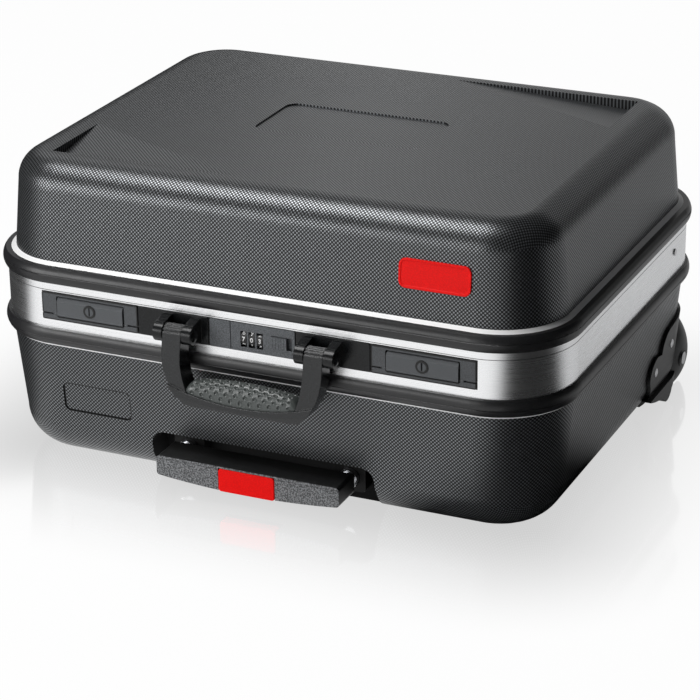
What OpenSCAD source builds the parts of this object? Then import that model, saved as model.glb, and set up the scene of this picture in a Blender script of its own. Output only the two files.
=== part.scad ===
// Wheeled hard tool case: two moulded shells in aluminium frames, two tilting
// latches, a number lock, a folding carry handle and a telescopic pull handle.
// Millimetres. The front faces -Y, the hinges are at +Y and the floor is z = 0.

/* [Case] */
// Width over the metal band
band_w = 500; // [460:5:560]
// Depth over the metal band
band_d = 392; // [370:2:440]
// Height of the closed case
case_h = 260.5; // [245:0.5:300]
// Plan radius of the band's corners
corner_r = 64; // [60:1:70]

/* [Frames] */
// Height of the joint between the base frame and the lid frame
parting_z = 156.5; // [156:0.5:158]
// Thickness of the metal band
band_t = 2; // [1.5:0.1:2.4]
// How far the bumpers stand out from the band
bumper_out = 4; // [3:0.2:4.6]

/* [Shells] */
// Wall thickness of the moulded shells
wall = 3; // [2.4:0.1:3.2]
// Edge radius round the top of the lid
lid_edge_r = 25.7; // [18:0.1:30]
// Edge radius round the bottom of the base
base_edge_r = 35; // [25:0.5:38]
// How far the lid leans in towards its top
lid_draft = 5; // [3:0.5:7]
// How far the base leans in towards its bottom
base_draft = 7; // [5:0.5:9]

/* [Latches] */
// Distance of each latch from the middle
latch_x = 146.3; // [140:0.1:150]
// Width of a latch flap
flap_w = 60.5; // [50:0.5:62]
// Height of a latch flap
flap_h = 16.6; // [14:0.2:17]

/* [Number lock] */
// Spacing of the number wheels
dial_pitch = 7.1; // [6.8:0.1:7.5]
// Radius of the number wheels
dial_r = 9; // [8:0.1:9.2]

/* [Carry handle] */
// Distance of each handle arm from the middle
arm_x = 62; // [58:0.5:64]
// Width of a handle arm
arm_w = 16.4; // [12:0.2:17]
// How far the handle pivot stands in front of the band
pivot_out = 13; // [12:0.5:14]

/* [Pull handle] */
// Distance of each tube from the middle
tube_x = 72.5; // [60:0.5:74]
// Height of the tube axes
tube_z = 25; // [24:0.5:27]
// Length of each tube
tube_len = 300; // [260:5:310]
// Half width of the pull grip
grip_half = 81.6; // [78:0.1:86]

/* [Wheels] */
// Wheel radius
wheel_r = 26; // [22:0.5:26]
// Width of a wheel
wheel_w = 24; // [18:1:25]
// Depth position of the wheel axle
wheel_y = 161; // [158:1:163]

/* [Hidden] */
$fn = 64;

// Free gap between pieces that move past each other
gap = 0.4;
// Radial play of a running fit
play = 0.06;
// Overshoot of a cutting body past the face that it opens
over = 1;

// Centres of the corner arcs in plan
corner_cx = band_w / 2 - corner_r;
corner_cy = band_d / 2 - corner_r;
front_y = -band_d / 2;
rear_y = band_d / 2;

// Heights of the frame section, from the parting line
lid_bottom_z = parting_z + 0.5;
lid_lip_z = parting_z + 22.3;
base_lip_z = parting_z - 49.6;
lid_bumper_z = parting_z + 7;
base_bumper_z = parting_z - 33.2;
lid_inset = 7.5;
base_inset = 2.4;
// How deep a shell's rim sits in its frame
tuck = 11;
channel_z = parting_z - 4.5;
channel_in = 9.5;

// Plates on the front of the band
plate_t = 1.2;
plate_y = front_y - plate_t;
plate_h = 23.8;
plate_z = parting_z - 13.2;
lock_half_w = 38;
mount_end = 101.8;
plate_end = 191;
seam = 1;

// Latch flap
flap_out = 2.4;
flap_gap = 0.9;
flap_pivot_z = plate_z - flap_h / 2 + 1.9;
flap_pivot_y = front_y - 0.6;
barrel_r = 1.9;
latch_pin_r = 0.9;
hook_x = 20;
hook_w = 8;
hook_y = front_y + 7.4;
catch_y = front_y + 8.2;
key_r = 5.4;

// Number lock
dial_w = 5;
dial_axis_y = front_y - 1.6 + dial_r;
dial_z = plate_z - 1.4;
dial_x0 = -7.4;
spindle_r = 1.8;
slide_x = 24;
slide_travel = 4;

// Carry handle
pivot_y = front_y - pivot_out;
pivot_z = plate_z;
knuckle_r = 7.5;
handle_pin_r = 2.5;
ear_w = 8.2;
ear_r = 8.2;
handle_low_z = pivot_z - 54.6;
foot_z = pivot_z - 58.5;
tray_z = pivot_z - 50;
pad_top = pivot_z - 31.7;
curve_z = pivot_z - 13.3;

// Pull handle recess and tubes
recess_half = 100;
recess_top = 42;
recess_back = front_y + 36;
tube_t = 1.4;
outer_r = 10;
middle_r = outer_r - tube_t - play;
inner_r = middle_r - tube_t - play;
grip_back = front_y + 12;
grip_front = front_y - 18.8;
grip_low = 13;
grip_top = 34.6;
button_half = 25;
button_travel = 4;

// Wheels
wheel_z = wheel_r + 0.6;
wheel_x = 223;
wheel_bolt_r = 4;
bolt_face_x = 245.2;
well_x = 207;
well_y = wheel_y - wheel_r - 4;
well_top = wheel_z + wheel_r + 3.4;
housing_rivets = [[88, 41], [126, 54]];

// Hinges
hinge_y = rear_y + 3.4;
hinge_z = parting_z + 0.25;
hinge_xs = [-150, 0, 150];
hinge_w = 60;
knuckle_w = 20;
hinge_r = 3.2;
hinge_pin_r = 1.5;
leaf_t = 1.4;

// ---------------------------------------------------------------- helpers

// Sweeps a section round the case. x is the outward offset from the band
module around() {
    for (sx = [0, 1], sy = [0, 1])
        mirror([sx, 0, 0]) mirror([0, sy, 0]) translate([corner_cx, corner_cy, 0])
            rotate_extrude(angle = 90) translate([corner_r, 0]) children();
    for (sx = [0, 1])
        mirror([sx, 0, 0]) translate([band_w / 2, corner_cy, 0])
            rotate([90, 0, 0]) linear_extrude(2 * corner_cy) children();
    for (sy = [0, 1])
        mirror([0, sy, 0]) translate([-corner_cx, rear_y, 0])
            rotate([90, 0, 90]) linear_extrude(2 * corner_cx) children();
}

// Flat plate with the case's plan outline, moved out from the band by offset
module plan_slab(offset, z, t) {
    e = corner_r + offset;
    translate([0, 0, z]) linear_extrude(t) {
        square([2 * corner_cx + 2 * e, 2 * corner_cy], center = true);
        square([2 * corner_cx, 2 * corner_cy + 2 * e], center = true);
        for (x = [-corner_cx, corner_cx], y = [-corner_cy, corner_cy])
            translate([x, y]) circle(e);
    }
}

// Outline in x and z, extruded from y towards the back by t
module from_front(y, t) {
    translate([0, y + t, 0]) rotate([90, 0, 0]) linear_extrude(t) children();
}

// Outline in y and z, extruded from x to the right by t
module from_left(x, t) {
    translate([x, 0, 0]) rotate([90, 0, 90]) linear_extrude(t) children();
}

// Rounded rectangle centred on x, z
module rounded(x, z, w, h, r) {
    translate([x, z]) {
        square([w - 2 * r, h], center = true);
        square([w, h - 2 * r], center = true);
        for (i = [-1, 1], k = [-1, 1])
            translate([i * (w / 2 - r), k * (h / 2 - r)]) circle(r);
    }
}

// Box between two corners
module block(a, b) {
    translate(a) cube(b - a);
}

// Cylinder along x
module bar_x(x, y, z, r, l) {
    translate([x, y, z]) rotate([0, 90, 0]) cylinder(r = r, h = l);
}

// Cylinder along y
module bar_y(x, y, z, r, l) {
    translate([x, y + l, z]) rotate([90, 0, 0]) cylinder(r = r, h = l);
}

// Dome of base radius r with a small flat on top, on a cylinder's end, facing +x or -x
module dome_x(x, y, z, r, h, s) {
    ball_r = (r * r + h * h) / (2 * h);
    translate([x, y, z]) rotate([0, s * 90, 0]) rotate_extrude() intersection() {
        translate([0, h - ball_r]) circle(ball_r);
        square([r, 0.92 * h]);
    }
}

// Puts a right-hand piece on the left side too
module both_sides() {
    for (s = [0, 1]) mirror([s, 0, 0]) children();
}

// ---------------------------------------------------------------- shells

// Section of a shell wall, its rim at the origin and its flat side h above
module shell_section(inset, draft, edge_r, h, t) {
    polygon([[-inset, 0], [-inset, tuck], [-inset - draft, h - edge_r],
        [-inset - draft - t, h - edge_r], [-inset - t, tuck], [-inset - t, 0]]);
    translate([-inset - draft - edge_r, h - edge_r]) intersection() {
        difference() {
            circle(edge_r);
            circle(edge_r - t);
        }
        square(edge_r);
    }
}

// The same section without its hollow, to fill a whole form
module filled_section(inset, draft, edge_r, h) {
    far = inset + draft + edge_r + 4;
    polygon([[-inset, 0], [-inset, tuck], [-inset - draft, h - edge_r], [-far, h - edge_r],
        [-far, 0]]);
    translate([-inset - draft - edge_r, h - edge_r]) {
        intersection() {
            circle(edge_r);
            square(edge_r);
        }
        translate([-4, -1]) square([4.5, edge_r + 1]);
    }
}

// Filled form of the base, grown outwards by grow
module base_form(grow) {
    rim_z = base_lip_z + tuck;
    flat = base_inset + base_draft + base_edge_r;
    around() translate([0, rim_z]) mirror([0, 1])
        filled_section(base_inset - grow, base_draft, base_edge_r + grow, rim_z + grow);
    plan_slab(-flat, -grow, rim_z + grow);
}

// Filled form of the lid
module lid_form() {
    rim_z = lid_lip_z - tuck;
    around() translate([0, rim_z])
        filled_section(lid_inset, lid_draft, lid_edge_r, case_h - rim_z);
    plan_slab(-lid_inset - lid_draft - lid_edge_r, rim_z, case_h - rim_z);
}

// Triangular hollow in the lid's top that deepens into the front left corner
module corner_hollow(grow) {
    long_leg = 168;
    short_leg = 76;
    depth = 9;
    corner = [-200, -152];
    slope = atan(depth * sqrt(pow(long_leg, 2) + pow(short_leg, 2)) / (long_leg * short_leg));
    intersection() {
        translate([corner.x - grow, corner.y - grow, case_h - 30]) linear_extrude(40)
            polygon([[0, 0], [1.2 * long_leg, 0], [0, 1.2 * short_leg]]);
        translate([corner.x + long_leg, corner.y, case_h - grow])
            rotate([0, 0, 180 - atan(short_leg / long_leg)]) rotate([-slope, 0, 0])
                translate([-60, -60, 0]) cube([300, 200, 60]);
    }
}

module lid_shell() color([0.09, 0.10, 0.10]) {
    rim_z = lid_lip_z - tuck;
    difference() {
        union() {
            around() translate([0, rim_z])
                shell_section(lid_inset, lid_draft, lid_edge_r, case_h - rim_z, wall);
            plan_slab(-lid_inset - lid_draft - lid_edge_r, case_h - wall, wall);
            intersection() {
                for (a = [0, 180]) rotate([0, 0, a]) corner_hollow(wall);
                plan_slab(-lid_inset - lid_draft - lid_edge_r + 12, case_h - 40, 40);
            }
        }
        for (a = [0, 180]) rotate([0, 0, a]) corner_hollow(0);
        // Shallow plain field in the middle of the top
        translate([0, 0, case_h - 1.4]) linear_extrude(4) rounded(0, 0, 150, 76, 10);
    }
}

// Recess for the pull handle, seen from the front
module recess_outline(grow) {
    r = 12 + grow;
    h = recess_top + grow;
    rounded(0, h / 2 - r, 2 * (recess_half + grow), h + 2 * r, r);
}

// Space that a wheel turns in
module wheel_well(grow) {
    block([well_x - grow, well_y - grow, -20], [300, 300, well_top + grow]);
}

module base_shell() color([0.09, 0.10, 0.10]) {
    rim_z = base_lip_z + tuck;
    lean = atan(base_draft / (base_lip_z - base_edge_r));
    field_z = 60.2;
    field_y = front_y + base_inset + base_draft * (base_lip_z - field_z) / (base_lip_z - base_edge_r);
    difference() {
        union() {
            around() translate([0, rim_z]) mirror([0, 1])
                shell_section(base_inset, base_draft, base_edge_r, rim_z, wall);
            plan_slab(-base_inset - base_draft - base_edge_r, 0, wall);
            intersection() {
                base_form(0);
                union() {
                    both_sides() wheel_well(wall);
                    from_front(front_y, 36 + wall) recess_outline(wall);
                }
            }
        }
        both_sides() wheel_well(0);
        from_front(front_y - over, 36 + over) recess_outline(0);
        // Tubes of the pull handle and the bolts of the wheels
        for (x = [-tube_x, tube_x]) bar_y(x, recess_back - over, tube_z, outer_r, wall + 2 * over);
        both_sides() bar_x(well_x - wall - over, wheel_y, wheel_z, wheel_bolt_r, wall + 2 * over);
        both_sides() for (p = housing_rivets) housing_rivet(p);
        // Plain field on the left of the front
        translate([-148.8, field_y, field_z]) rotate([lean, 0, 0])
            from_front(-3, 4) rounded(0, 0, 62.5, 25.7, 5);
    }
}

// ---------------------------------------------------------------- frames

module base_frame_section() {
    slot_z = base_lip_z + tuck;
    polygon([[0, parting_z], [0, base_lip_z + 9], [-1.2, base_lip_z + 2.4],
        [-base_inset, base_lip_z], [-base_inset, slot_z], [-base_inset - wall, slot_z],
        [-base_inset - wall, base_lip_z + 1.5], [-6.8, base_lip_z + 1.5], [-6.8, slot_z + 1.5],
        [-band_t, slot_z + 1.5], [-band_t, channel_z], [-channel_in, channel_z],
        [-channel_in, parting_z - 0.6], [-channel_in + 1.2, parting_z - 0.6],
        [-channel_in + 1.2, channel_z + 1.2], [-band_t, channel_z + 1.2],
        [-band_t, parting_z]]);
}

module lid_frame_section() {
    slot_z = lid_lip_z - tuck;
    polygon([[0, lid_bottom_z], [0, lid_lip_z - 9.8], [-3.3, lid_lip_z - 2.1],
        [-lid_inset, lid_lip_z], [-lid_inset, slot_z], [-lid_inset - wall, slot_z],
        [-lid_inset - wall, lid_lip_z - 1.5], [-12, lid_lip_z - 1.5], [-12, slot_z - 1.5],
        [-band_t, slot_z - 1.5], [-band_t, lid_bottom_z + 1.4], [-12.4, lid_bottom_z + 1.4],
        [-12.4, lid_bottom_z]]);
}

module base_frame() color([0.82, 0.83, 0.84]) {
    difference() {
        around() base_frame_section();
        // Windows for the latches, the number wheels and the slide
        both_sides() block([latch_x - 36, front_y - over, plate_z - 10],
            [latch_x + 36, front_y + 4, channel_z]);
        block([-19, front_y - over, plate_z - 11.8], [36, front_y + 4, channel_z]);
        // Ways through the seal channel for the strikers
        both_sides() block([latch_x - 26, catch_y - 0.9, channel_z - over],
            [latch_x + 26, front_y + 12, parting_z]);
    }
}

module lid_frame() color([0.82, 0.83, 0.84]) around() lid_frame_section();

// Bumper section on its frame, upright up to seat_h, then leaning back to its top
module bumper_section(h, seat_h, lean, out) {
    difference() {
        intersection() {
            polygon([[-6, 0], [12, 0], [12, h], [-6, h]]);
            translate([out - 11, h * 0.44]) circle(11);
        }
        polygon([[-12, -1], [0, -1], [0, seat_h], [-lean, h], [-12, h]]);
        // Groove along the extrusion
        translate([out + 0.2, h * 0.56]) circle(0.7);
    }
}

module base_bumper() color([0.05, 0.05, 0.05]) {
    h = base_bumper_z - base_lip_z - 2.4;
    around() translate([0, base_bumper_z]) mirror([0, 1]) 
        bumper_section(h, h - 6.6, 1.2, bumper_out);
}

module lid_bumper() color([0.05, 0.05, 0.05]) {
    h = lid_lip_z - 2.1 - lid_bumper_z;
    around() translate([0, lid_bumper_z]) bumper_section(h, h - 7.7, 3.3, bumper_out);
}

module frame_seal() color([0.03, 0.03, 0.03]) {
    around() translate([-5, channel_z + 1.2]) {
        translate([-1.7, 0]) square([3.4, 2]);
        translate([0, 1.9]) circle(1.7);
    }
}

// Raised floor over the tubes, rests on the recess and the rear bracket
module floor_panel() color([0.16, 0.16, 0.17]) {
    difference() {
        plan_slab(-12, recess_top + wall, wall);
        both_sides() translate([0, 0, 1]) wheel_well(wall + 1);
    }
}

// ---------------------------------------------------------------- front plates

module latch_plate(side) {
    x0 = mount_end + seam;
    difference() {
        union() {
            from_front(plate_y, plate_t)
                rounded((x0 + plate_end) / 2, plate_z, plate_end - x0, plate_h, 1.5);
            for (s = [-1, 1]) from_left(latch_x + s * (flap_w / 2 + 2.6) - 1.6, 3.2)
                rounded(front_y + 1.4, flap_pivot_z + 0.4, 5.2, 6, 1.2);
        }
        from_front(plate_y - over, plate_t + over)
            rounded(latch_x, plate_z + 0.3, flap_w + 2 * flap_gap, flap_h + 1.4, 1);
        bar_x(latch_x - flap_w, flap_pivot_y, flap_pivot_z, latch_pin_r, 2 * flap_w);
    }
}

module left_latch_plate() color([0.13, 0.13, 0.14]) mirror([1, 0, 0]) latch_plate();
module right_latch_plate() color([0.13, 0.13, 0.14]) latch_plate();

module latch_pins() color([0.7, 0.7, 0.7]) both_sides()
    bar_x(latch_x - flap_w / 2 - 4, flap_pivot_y, flap_pivot_z, latch_pin_r, flap_w + 8);

// Tilting flap with a barrel along its lower edge and two hooks behind
module latch_lever() {
    difference() {
        union() {
            from_front(front_y - flap_out, 3.6)
                rounded(latch_x, plate_z + 0.9, flap_w, flap_h - 1.9, 1);
            bar_x(latch_x - flap_w / 2, flap_pivot_y, flap_pivot_z, barrel_r, flap_w);
            for (s = [-1, 1])
                block([latch_x + s * hook_x - hook_w / 2, front_y + 1, plate_z - 2],
                    [latch_x + s * hook_x + hook_w / 2, hook_y, plate_z + 4]);
        }
        bar_x(latch_x - flap_w, flap_pivot_y, flap_pivot_z, latch_pin_r + play, 2 * flap_w);
        bar_y(latch_x, front_y - 6, plate_z + 0.4, key_r + play, 20);
        // Finger edge along the top
        from_left(latch_x - flap_w, 2 * flap_w)
            polygon([[front_y - flap_out - 1, plate_z + flap_h / 2 - 4.4],
                [front_y, plate_z + flap_h / 2 + 0.3],
                [front_y - flap_out - 1, plate_z + flap_h / 2 + 0.3]]);
    }
}

module left_latch_lever() color([0.10, 0.10, 0.11]) mirror([1, 0, 0]) latch_lever();
module right_latch_lever() color([0.10, 0.10, 0.11]) latch_lever();

// Cylinder with a key slot, a rim and a tail behind
module key_cylinder() {
    difference() {
        union() {
            bar_y(latch_x, front_y - flap_out - 0.5, plate_z + 0.4, key_r, 6.5);
            block([latch_x - 2, front_y + 3, plate_z - 3.4], [latch_x + 2, front_y + 6, plate_z + 4.4]);
        }
        block([latch_x - 0.6, front_y - flap_out - 1.5, plate_z - 3],
            [latch_x + 0.6, front_y - flap_out + 2, plate_z + 3.8]);
    }
}

module left_key_cylinder() color([0.2, 0.2, 0.21]) mirror([1, 0, 0]) key_cylinder();
module right_key_cylinder() color([0.2, 0.2, 0.21]) key_cylinder();

// One handle mount: a plate with two ears and a domed boss on each outer face
module handle_mount() {
    x0 = lock_half_w + seam;
    difference() {
        union() {
            from_front(plate_y, plate_t)
                rounded((x0 + mount_end) / 2, plate_z, mount_end - x0, plate_h, 1.5);
            for (s = [-1, 1]) {
                near = arm_x + s * (arm_w / 2 + gap);
                from_left(s > 0 ? near : near - ear_w, ear_w) {
                    translate([pivot_y, pivot_z]) circle(ear_r);
                    polygon([[pivot_y, pivot_z - ear_r], [plate_y + 0.3, pivot_z - ear_r - 2.4],
                        [plate_y + 0.3, pivot_z + ear_r + 2.4], [pivot_y, pivot_z + ear_r]]);
                }
                dome_x(near + s * ear_w, pivot_y, pivot_z, 5.6, 2.2, s);
            }
        }
        block([arm_x - arm_w / 2 - gap, pivot_y - 12, pivot_z - 12],
            [arm_x + arm_w / 2 + gap, plate_y, pivot_z + 12]);
        bar_x(arm_x - 15.5, pivot_y, pivot_z, handle_pin_r, 31);
    }
}

module left_handle_mount() color([0.11, 0.11, 0.12]) mirror([1, 0, 0]) handle_mount();
module right_handle_mount() color([0.11, 0.11, 0.12]) handle_mount();

module handle_pins() color([0.7, 0.7, 0.7]) both_sides()
    bar_x(arm_x - 15.5, pivot_y, pivot_z, handle_pin_r, 31);

// Plate over the number wheels with the cage that holds their spindle
module lock_plate() color([0.13, 0.13, 0.14]) {
    cage_back = dial_axis_y + dial_r + 2;
    difference() {
        union() {
            from_front(plate_y, plate_t)
                rounded(0, plate_z, 2 * lock_half_w - seam, plate_h, 1.5);
            block([-14.5, front_y - 0.6, dial_z - 10.2], [13, cage_back, channel_z - 0.2]);
        }
        for (i = [0 : 2]) {
            x = dial_x0 + i * dial_pitch;
            block([x - dial_w / 2 - 0.2, plate_y - over, dial_z - 6.8],
                [x + dial_w / 2 + 0.2, front_y + 1, dial_z + 6.8]);
            bar_x(x - dial_w / 2 - 0.2, dial_axis_y, dial_z, dial_r + 0.3, dial_w + 0.4);
        }
        bar_x(-13, dial_axis_y, dial_z, spindle_r, 40);
        // Slot of the release slide and a seam left of the number window
        block([slide_x - 7, plate_y - over, plate_z - 5.3],
            [slide_x + 7 + slide_travel, front_y + over, plate_z + 5.3]);
        block([-19.3, plate_y - over, plate_z - 14], [-18.3, plate_y + 0.7, plate_z + 14]);
    }
}

module lock_spindle() color([0.7, 0.7, 0.7]) bar_x(-13, dial_axis_y, dial_z, spindle_r, 26);

// Number wheel with ten flats of a slightly scalloped rim
module number_wheel(i) color([0.06, 0.06, 0.06]) {
    x = dial_x0 + i * dial_pitch;
    difference() {
        bar_x(x - dial_w / 2, dial_axis_y, dial_z, dial_r, dial_w);
        bar_x(x - dial_w, dial_axis_y, dial_z, spindle_r + play, 2 * dial_w);
        for (k = [0 : 9]) translate([x, dial_axis_y, dial_z]) rotate([k * 36, 0, 0])
            bar_x(-dial_w, 0, dial_r + 0.9, 1.2, 2 * dial_w);
    }
}

// Release slide: a ribbed button in front and a bar behind the plate
module lock_slide() color([0.16, 0.16, 0.17]) {
    difference() {
        union() {
            block([slide_x - 6.6, plate_y - 1.2, plate_z - 4.9],
                [slide_x + 6.6, front_y + 1, plate_z + 4.9]);
            block([slide_x - 6, front_y + gap, plate_z - 7.5],
                [slide_x + 6, front_y + 1.6, plate_z + 7.5]);
        }
        for (k = [-2 : 2]) translate([slide_x + k * 2.4, plate_y - 1.5, plate_z - 6])
            cylinder(r = 0.6, h = 12);
    }
}

// ---------------------------------------------------------------- carry handle

// Side view of the handle, hanging against the bumper
module handle_side() {
    translate([pivot_y, pivot_z]) circle(knuckle_r);
    polygon([[pivot_y - knuckle_r, pivot_z], [pivot_y - 11.5, pivot_z - 24],
        [pivot_y - 13, tray_z], [pivot_y - 11.8, handle_low_z - 2],
        [pivot_y + 1, foot_z], [pivot_y + 4.8, foot_z + 3],
        [pivot_y + 5.3, pivot_z - 20], [pivot_y + knuckle_r - 1.2, pivot_z - 4]]);
}

// Front view: arms that curve inward, above an arch with its crown at z
module handle_outline(z, arch_r) {
    corner = 56;
    intersection() {
        rounded(0, curve_z + 10, 2 * arm_x + arm_w, 2 * corner + 20, corner);
        translate([0, z + arch_r]) circle(arch_r, $fn = 200);
    }
}

// Hollow of the tray, an arc that rises towards the arms
module tray_arc() {
    tray_r = 200;
    translate([0, tray_z + tray_r]) circle(tray_r, $fn = 200);
}

// Space between the arms, down to the tray
module grip_opening(clear = 0) {
    side_r = 83;
    half = arm_x - arm_w / 2 - clear;
    translate([-half, curve_z]) square([2 * half, 60]);
    intersection() {
        translate([half - side_r, curve_z]) circle(side_r, $fn = 100);
        translate([side_r - half, curve_z]) circle(side_r, $fn = 100);
        tray_arc();
        translate([-half, tray_z]) square([2 * half, curve_z - tray_z + over]);
    }
}

module handle_frame() color([0.10, 0.10, 0.11]) {
    difference() {
        union() {
            intersection() {
                from_left(-100, 200) handle_side();
                from_front(pivot_y - 30, 60) handle_outline(foot_z, 500);
            }
            // Rim that stands out in front of the tray and the arms
            from_front(pivot_y - 14.6, 8) difference() {
                handle_outline(handle_low_z, 330);
                tray_arc();
                translate([-100, curve_z - 20]) square([200, 60]);
            }
        }
        from_front(pivot_y - 30, 60) grip_opening();
        bar_x(-100, pivot_y, pivot_z, handle_pin_r + play, 200);
        // Grooves over the knuckles
        for (a = [25 : 25 : 100])
            bar_x(-100, pivot_y - knuckle_r * cos(a), pivot_z + knuckle_r * sin(a), 0.8, 200);
    }
}

// Soft crowned pad that fills the tray
module handle_pad() color([0.17, 0.19, 0.18]) {
    crown_r = 9;
    crest_r = 250;
    intersection() {
        from_left(-100, 200) {
            translate([pivot_y - 4.2, pad_top - crown_r]) circle(crown_r);
            translate([pivot_y - 4.2 - crown_r, foot_z])
                square([2 * crown_r, pad_top - crown_r - foot_z]);
        }
        from_front(pivot_y - 30, 60) intersection() {
            grip_opening(gap / 2);
            translate([0, pad_top - crest_r]) circle(crest_r, $fn = 200);
        }
    }
}

// ---------------------------------------------------------------- pull handle

// Two parallel tubes from y0 towards the back
module tube_pair(r, bore_r, y0, l) {
    for (x = [-tube_x, tube_x]) difference() {
        bar_y(x, y0, tube_z, r, l);
        bar_y(x, y0 - over, tube_z, bore_r, l + 2 * over);
    }
}

module outer_tubes() color([0.75, 0.76, 0.78])
    tube_pair(outer_r, outer_r - tube_t, recess_back, tube_len);

module middle_tubes() color([0.75, 0.76, 0.78])
    tube_pair(middle_r, middle_r - tube_t, recess_back - 18, tube_len);

module inner_tubes() color([0.75, 0.76, 0.78])
    tube_pair(inner_r, inner_r - tube_t, grip_back - 8, tube_len);

// Guide collars on the back wall of the recess
module tube_collars() color([0.06, 0.06, 0.06]) {
    for (x = [-tube_x, tube_x]) difference() {
        from_front(recess_back - 13, 13) rounded(x, tube_z, 28, 24, 4);
        bar_y(x, recess_back - 20, tube_z, outer_r - tube_t, 40);
    }
}

// Cross bar that holds the blind ends of the tubes and carries the floor
module tube_rear_bracket() color([0.12, 0.12, 0.12]) {
    y0 = recess_back + tube_len - 14;
    difference() {
        union() {
            from_front(y0, 20) rounded(0, tube_z, 190, 25, 4);
            for (x = [-tube_x, tube_x]) block([x - 12, y0, wall], [x + 12, y0 + 20, recess_top + wall]);
        }
        for (x = [-tube_x, tube_x]) bar_y(x, y0 - over, tube_z, outer_r, 15);
        from_front(y0 - over, 40) rounded(0, tube_z, 104, 15, 4);
    }
}

// Bar with a pocket for the button, sockets for the tubes and a belly below
module pull_grip() color([0.17, 0.17, 0.18]) {
    belly_r = 730;
    end_low = grip_low + 4.3;
    difference() {
        from_front(grip_front, grip_back - grip_front) {
            rounded(0, (end_low + grip_top) / 2, 2 * grip_half, grip_top - end_low, 3);
            intersection() {
                translate([0, grip_low + belly_r]) circle(belly_r, $fn = 200);
                translate([-grip_half + 3, grip_low]) square([2 * grip_half - 6, 12]);
            }
        }
        block([-button_half - gap, grip_front - over, grip_low - over],
            [button_half + gap, front_y - 4, grip_top - 1.2]);
        for (x = [-tube_x, tube_x]) bar_y(x, grip_back - 8, tube_z, inner_r, 20);
        // Seam of the top cover
        block([-grip_half - over, grip_front - over, grip_top - 2.5],
            [grip_half + over, grip_front + 0.5, grip_top - 2]);
    }
}

module release_button() color([0.75, 0.08, 0.07]) {
    top = grip_top - 1.6;
    difference() {
        from_front(grip_front - 0.5, 10)
            rounded(0, (grip_low + top) / 2, 2 * button_half, top - grip_low, 2.5);
        block([-14, grip_front + 4, grip_low + 5], [14, grip_front + 10, top - 5]);
    }
}

// ---------------------------------------------------------------- wheels

// Tyre with rounded shoulders, revolved about the axle
module wheel_tyre() {
    shoulder = 2.5;
    half = wheel_w / 2;
    translate([wheel_x, wheel_y, wheel_z]) rotate([0, 90, 0]) rotate_extrude() {
        translate([wheel_r - 6, -half]) square([6 - shoulder, wheel_w]);
        translate([wheel_r - shoulder, -half + shoulder]) square([shoulder, wheel_w - 2 * shoulder]);
        for (s = [-1, 1]) translate([wheel_r - shoulder, s * (half - shoulder)]) circle(shoulder);
    }
}

module wheel_hub() {
    difference() {
        bar_x(wheel_x - wheel_w / 2, wheel_y, wheel_z, wheel_r - 6, wheel_w);
        bar_x(wheel_x - wheel_w, wheel_y, wheel_z, wheel_bolt_r + play, 2 * wheel_w);
        for (s = [-1, 1], k = [0 : 4]) translate([wheel_x, wheel_y, wheel_z]) rotate([k * 72, 0, 0])
            bar_x(s > 0 ? 4 : -wheel_w / 2 - over, 0, 12, 4.6, wheel_w / 2 - 3);
    }
}

module left_wheel_hub() color([0.2, 0.2, 0.2]) mirror([1, 0, 0]) wheel_hub();
module right_wheel_hub() color([0.2, 0.2, 0.2]) wheel_hub();
module left_wheel_tyre() color([0.04, 0.04, 0.04]) mirror([1, 0, 0]) wheel_tyre();
module right_wheel_tyre() color([0.04, 0.04, 0.04]) wheel_tyre();

// Side view of the housing's flange with a lobe round each rivet
module flange_outline() {
    translate([89, 40]) circle(15);
    translate([120, 53]) circle(19);
    polygon([[89, 55], [104, 52], [120, 72], [152, 77], [204, 77], [204, 6], [88, 6], [80, 24],
        [74, 40]]);
}

// Side view of the skid below the flange, with its round foot
module skid_outline() {
    translate([122, 15]) circle(14);
    polygon([[76, 17], [88, 13], [103, 9.3], [110, 7], [134, 8], [150, 16], [150, 30], [76, 30]]);
}

// Rivet of a housing: a shank through shell and flange and a domed head
module housing_rivet(p) {
    head_x = band_w / 2 - base_inset - base_draft + 0.1 * (p.y - base_edge_r) + 3;
    bar_x(head_x - 7, p.x, p.y, 2, 7);
    bar_x(head_x - 0.8, p.x, p.y, 3.8, 1.2);
    dome_x(head_x + 0.4, p.x, p.y, 3.8, 1, 1);
}

module wheel_housing() {
    cover_c = [199.5, wheel_y + 5, wheel_z + 1.4];
    cover_r = 46.5;
    inner_x = well_x + gap;
    outer_x = wheel_x + wheel_w / 2 + 2;
    space_r = wheel_r + 2.4;
    difference() {
        union() {
            // Flange that hugs the shell's corner
            intersection() {
                base_form(3);
                from_left(196, 80) flange_outline();
            }
            intersection() {
                plan_slab(-5.4, 1, 17);
                from_left(214, 40) skid_outline();
            }
            // Domed cover over the wheel, cut flat behind as a foot
            intersection() {
                translate(cover_c) sphere(r = cover_r);
                block([inner_x, 100, 1], [260, rear_y + 5, 90]);
            }
            bar_x(outer_x, wheel_y, wheel_z, 8, bolt_face_x - outer_x);
        }
        // Wheel space, open below and behind
        bar_x(well_x - over, wheel_y, wheel_z, space_r, outer_x - well_x + over);
        block([well_x - over, wheel_y - space_r, -10], [outer_x, 240, wheel_z]);
        bar_x(well_x, wheel_y, wheel_z, wheel_bolt_r, 60);
        bar_x(bolt_face_x, wheel_y, wheel_z, 6.4, 5);
        block([150, 0, -10], [260, 220, 1]);
        for (p = housing_rivets) housing_rivet(p);
        // Seat on the shell, less the well that the cover fills
        difference() {
            base_form(0);
            block([inner_x, well_y + gap, -20], [300, 300, well_top - gap]);
        }
    }
}

module left_wheel_housing() color([0.07, 0.07, 0.07]) mirror([1, 0, 0]) wheel_housing();
module right_wheel_housing() color([0.07, 0.07, 0.07]) wheel_housing();

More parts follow.
